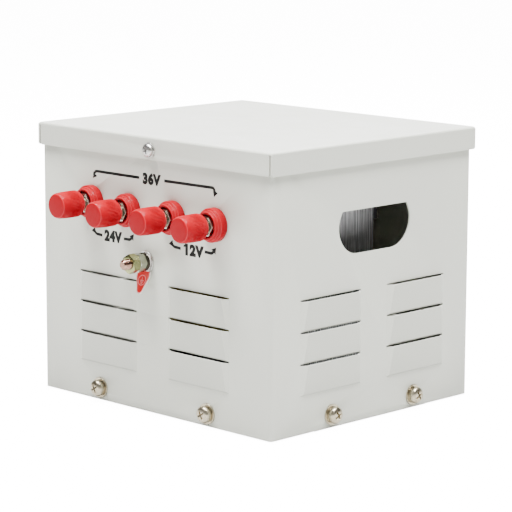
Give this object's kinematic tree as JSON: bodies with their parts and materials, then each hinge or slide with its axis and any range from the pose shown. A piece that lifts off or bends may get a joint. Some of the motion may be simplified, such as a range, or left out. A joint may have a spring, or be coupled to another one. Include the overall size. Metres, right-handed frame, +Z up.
{
  "type": "lighting transformer",
  "caption": "Boxed low-voltage transformer in a louvred steel casing with a lift-off lid, hand holes, red binding posts and an earth bolt.",
  "frame": {"origin": "on the surface the transformer stands on, under the middle of the casing", "axes": "+X to the right seen from the front, -Y to the front where the output posts are, +Z up"},
  "size_m": [0.201, 0.2224, 0.1606],
  "materials": {
    "casing_paint": "satin sprayed warm light grey",
    "tray_zinc": "satin grey",
    "screw_zinc": "zinc plated, slightly yellow",
    "plain_steel": "zinc plated",
    "core_laminations": "varnished laminations, edges showing",
    "clamp_paint": "black enamel",
    "bobbin_nylon": "natural nylon",
    "coil_tape": "varnished yellow tape",
    "insulation_paper": "pressed paper",
    "copper_wire": "enamelled copper wire",
    "red_bush": "moulded phenolic",
    "red_knob": "moulded phenolic",
    "brass": "turned",
    "nickel_brass": "nickel plated",
    "tinned_copper": "tin plated",
    "lead_sleeve": "flexible sleeve",
    "tag_red": "enamelled",
    "earth_copper": "copper coloured plating",
    "earth_yellow_zinc": "yellow passivated zinc",
    "earth_zinc": "bright zinc"
  },
  "bodies": {
    "casing": {"base_flat_washers": "screw_zinc", "base_screws": "screw_zinc", "base_spring_washers": "screw_zinc", "base_tray": "tray_zinc", "base_weld_nuts": "plain_steel", "case_wrap": "casing_paint", "coil_bobbin": "bobbin_nylon", "coil_wrap": "coil_tape", "core_bolts": "plain_steel", "core_nuts": "plain_steel", "core_stack": "core_laminations", "core_washers": "plain_steel", "earth_bolt": "earth_copper", "earth_flat_washer": "earth_zinc", "earth_inner_nut": "earth_zinc", "earth_outer_nut": "earth_yellow_zinc", "earth_spring_washer": "earth_zinc", "earth_tag": "tag_red", "foot_bolts": "plain_steel", "foot_nuts": "plain_steel", "foot_washers": "plain_steel", "input_leads": "lead_sleeve", "lid": "casing_paint", "lid_screws": "screw_zinc", "lid_washers": "screw_zinc", "lid_weld_nuts": "plain_steel", "lower_clamp_angles": "clamp_paint", "output_leads": "lead_sleeve", "post_inner_bushes": "red_bush", "post_lugs": "tinned_copper", "post_nuts": "nickel_brass", "post_outer_bushes": "red_bush", "post_studs": "nickel_brass", "post_washers": "nickel_brass", "primary_winding": "copper_wire", "secondary_winding": "copper_wire", "series_link": "tinned_copper", "upper_clamp_angles": "clamp_paint", "winding_insulation": "insulation_paper"},
    "washer_output_1": {"clamp_washer_output_1": "nickel_brass"},
    "turning_knob_output_1": {"knob_output_1": "red_knob", "knob_insert_output_1": "brass"},
    "washer_output_2": {"clamp_washer_output_2": "nickel_brass"},
    "turning_knob_output_2": {"knob_output_2": "red_knob", "knob_insert_output_2": "brass"},
    "washer_output_3": {"clamp_washer_output_3": "nickel_brass"},
    "turning_knob_output_3": {"knob_output_3": "red_knob", "knob_insert_output_3": "brass"},
    "washer_output_4": {"clamp_washer_output_4": "nickel_brass"},
    "turning_knob_output_4": {"knob_output_4": "red_knob", "knob_insert_output_4": "brass"},
    "washer_input_1": {"clamp_washer_input_1": "nickel_brass"},
    "turning_knob_input_1": {"knob_input_1": "red_knob", "knob_insert_input_1": "brass"},
    "washer_input_2": {"clamp_washer_input_2": "nickel_brass"},
    "turning_knob_input_2": {"knob_input_2": "red_knob", "knob_insert_input_2": "brass"}
  },
  "joints": [
    {"name": "slide_output_1", "type": "slide", "parent": "casing", "child": "washer_output_1", "axis": [0, -1, 0], "range_m": [-0.00167, 0.005]},
    {"name": "turn_output_1", "type": "hinge", "parent": "washer_output_1", "child": "turning_knob_output_1", "pos_m": [-0.0506, -0.083, 0.118], "axis": [0, -1, 0], "range_deg": [-600, 1800]},
    {"name": "slide_output_2", "type": "slide", "parent": "casing", "child": "washer_output_2", "axis": [0, -1, 0], "range_m": [-0.00167, 0.005]},
    {"name": "turn_output_2", "type": "hinge", "parent": "washer_output_2", "child": "turning_knob_output_2", "pos_m": [-0.0189, -0.083, 0.1164], "axis": [0, -1, 0], "range_deg": [-600, 1800]},
    {"name": "slide_output_3", "type": "slide", "parent": "casing", "child": "washer_output_3", "axis": [0, -1, 0], "range_m": [-0.00167, 0.005]},
    {"name": "turn_output_3", "type": "hinge", "parent": "washer_output_3", "child": "turning_knob_output_3", "pos_m": [0.0179, -0.083, 0.1164], "axis": [0, -1, 0], "range_deg": [-600, 1800]},
    {"name": "slide_output_4", "type": "slide", "parent": "casing", "child": "washer_output_4", "axis": [0, -1, 0], "range_m": [-0.00167, 0.005]},
    {"name": "turn_output_4", "type": "hinge", "parent": "washer_output_4", "child": "turning_knob_output_4", "pos_m": [0.0516, -0.083, 0.1162], "axis": [0, -1, 0], "range_deg": [-600, 1800]},
    {"name": "slide_input_1", "type": "slide", "parent": "casing", "child": "washer_input_1", "axis": [0, 1, 0], "range_m": [-0.00167, 0.005]},
    {"name": "turn_input_1", "type": "hinge", "parent": "washer_input_1", "child": "turning_knob_input_1", "pos_m": [0.025, 0.083, 0.116], "axis": [0, 1, 0], "range_deg": [-600, 1800]},
    {"name": "slide_input_2", "type": "slide", "parent": "casing", "child": "washer_input_2", "axis": [0, 1, 0], "range_m": [-0.00167, 0.005]},
    {"name": "turn_input_2", "type": "hinge", "parent": "washer_input_2", "child": "turning_knob_input_2", "pos_m": [-0.025, 0.083, 0.116], "axis": [0, 1, 0], "range_deg": [-600, 1800]}
  ],
  "couplings": [
    {"joint": "slide_output_1", "follows": "turn_output_1", "m_per_rad": 0.00015915},
    {"joint": "slide_output_2", "follows": "turn_output_2", "m_per_rad": 0.00015915},
    {"joint": "slide_output_3", "follows": "turn_output_3", "m_per_rad": 0.00015915},
    {"joint": "slide_output_4", "follows": "turn_output_4", "m_per_rad": 0.00015915},
    {"joint": "slide_input_1", "follows": "turn_input_1", "m_per_rad": 0.00015915},
    {"joint": "slide_input_2", "follows": "turn_input_2", "m_per_rad": 0.00015915}
  ]
}
